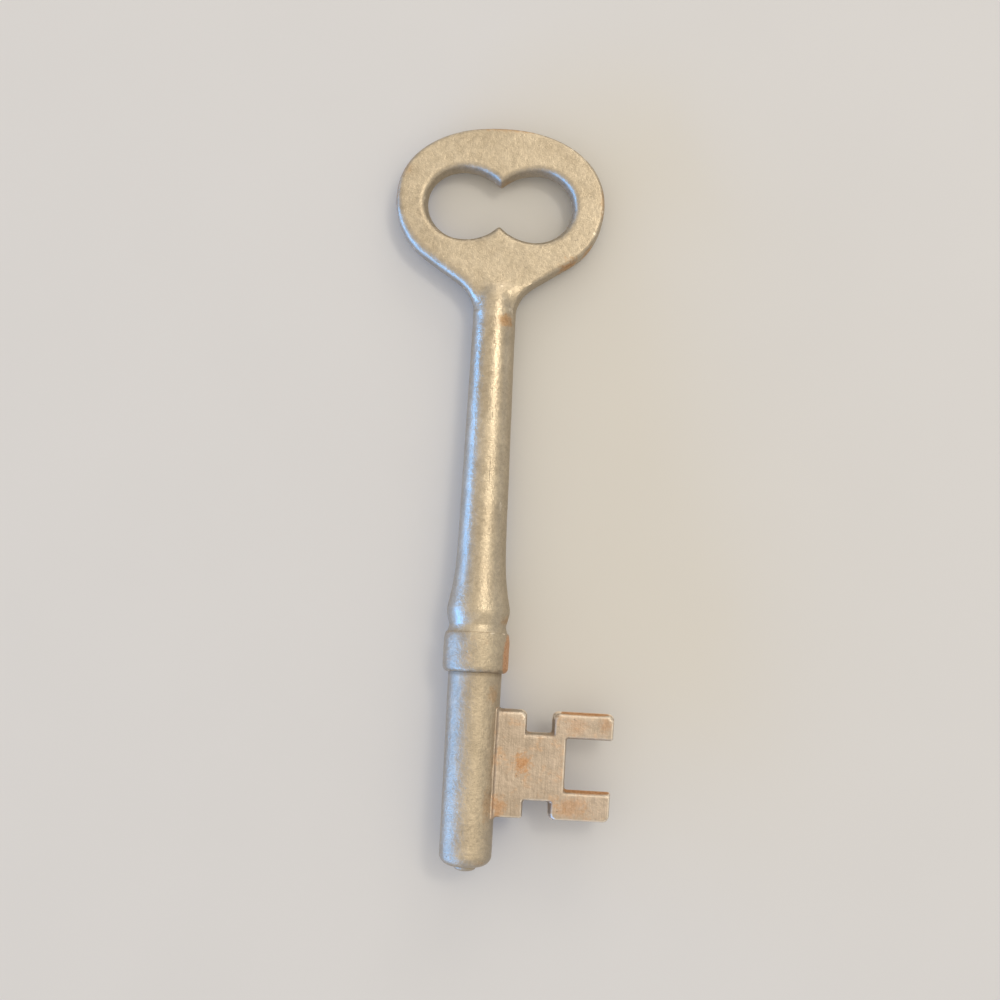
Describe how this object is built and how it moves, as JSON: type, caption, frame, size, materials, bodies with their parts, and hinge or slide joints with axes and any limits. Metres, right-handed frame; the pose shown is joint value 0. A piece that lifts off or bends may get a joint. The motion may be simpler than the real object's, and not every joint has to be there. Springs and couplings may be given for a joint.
{
  "type": "skeleton key",
  "caption": "Skeleton key for a mortise lock: flat oval bow with a lobed opening, tapered round stem with a bead and collar, and a flat notched bit on a round post.",
  "frame": {"origin": "on the key's axis, at the lower face of the collar, where the key stops against the lock", "axes": "+Y along the stem towards the bow, so the pilot end is at -Y; +X towards the prongs of the bit; +Z square to the flat faces of bow and bit"},
  "size_m": [0.0297, 0.0894, 0.008],
  "materials": {
    "nickel": "worn satin nickel plate on malleable iron, warm grey-beige, fine cast grain",
    "nickel_worn": "rubbed nickel plate with coppery and rusty patches where the plate is worn through"
  },
  "bodies": {
    "root": {"bow": "nickel", "stem": "nickel", "collar": "nickel_worn", "post": "nickel", "bit": "nickel_worn"}
  },
  "joints": []
}
